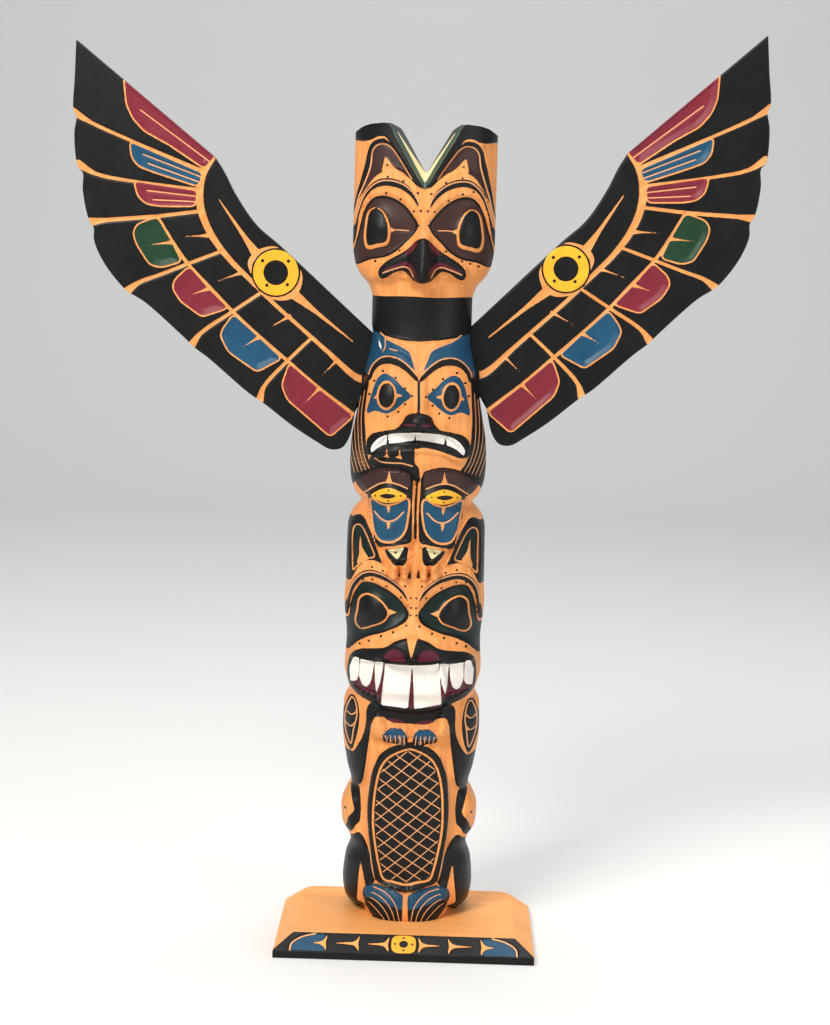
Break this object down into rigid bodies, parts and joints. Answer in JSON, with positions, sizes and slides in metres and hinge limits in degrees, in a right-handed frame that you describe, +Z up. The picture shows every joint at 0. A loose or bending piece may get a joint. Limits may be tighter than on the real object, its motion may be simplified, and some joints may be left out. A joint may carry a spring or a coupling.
{
  "type": "model totem pole",
  "caption": "Carved and painted wooden model totem pole: winged bird over a bear and a beaver, standing on a bevelled base board.",
  "frame": {"origin": "middle of the base board's underside, which is the whole object's lowest face", "axes": "+Z up, the carved front faces -Y, +X to the viewer's right"},
  "size_m": [0.4566, 0.126, 0.6035],
  "materials": {
    "base_wood": "oiled cedar, black painted front bevel with a carved and painted border",
    "pole_paint": "carved cedar, part bare and oiled, part in satin black, brown, green, blue, red and white paint",
    "wing_paint": "carved cedar board in satin black, red, blue and green paint, with bare carved lines"
  },
  "bodies": {
    "root": {"base": "base_wood", "pole": "pole_paint", "wing_left": "wing_paint", "wing_right": "wing_paint"}
  },
  "joints": []
}
